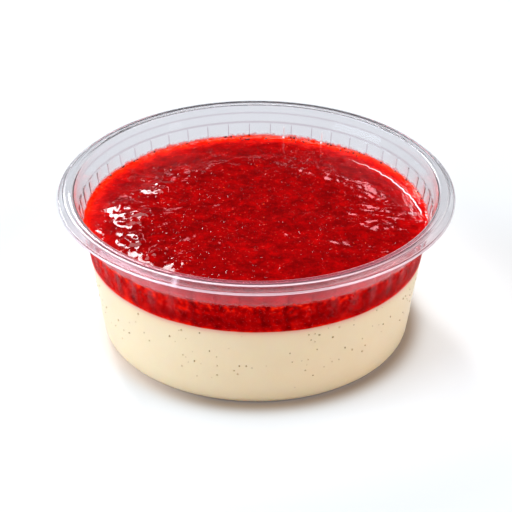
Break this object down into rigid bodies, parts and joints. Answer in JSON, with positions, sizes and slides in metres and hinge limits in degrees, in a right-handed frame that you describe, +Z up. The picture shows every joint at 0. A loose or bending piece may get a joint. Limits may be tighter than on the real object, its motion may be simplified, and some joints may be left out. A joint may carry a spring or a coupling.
{
  "type": "panna cotta in a clear pot",
  "caption": "Set vanilla cream under a layer of red berry coulis, in an open clear plastic dessert pot with a flanged rim and a fluted upper wall.",
  "frame": {"origin": "on the pot's axis, at the level of the surface it stands on", "axes": "+Z up along the pot's axis; -Y is the side that faces the viewer"},
  "size_m": [0.095, 0.095, 0.0377],
  "materials": {
    "clear_plastic": "clear, glossy, thermoformed",
    "vanilla_cream": "smooth set cream with fine vanilla seeds",
    "red_coulis": "wet, glossy, with fruit pulp"
  },
  "bodies": {
    "root": {"pot": "clear_plastic", "panna_cotta": "vanilla_cream", "berry_coulis": "red_coulis"}
  },
  "joints": []
}
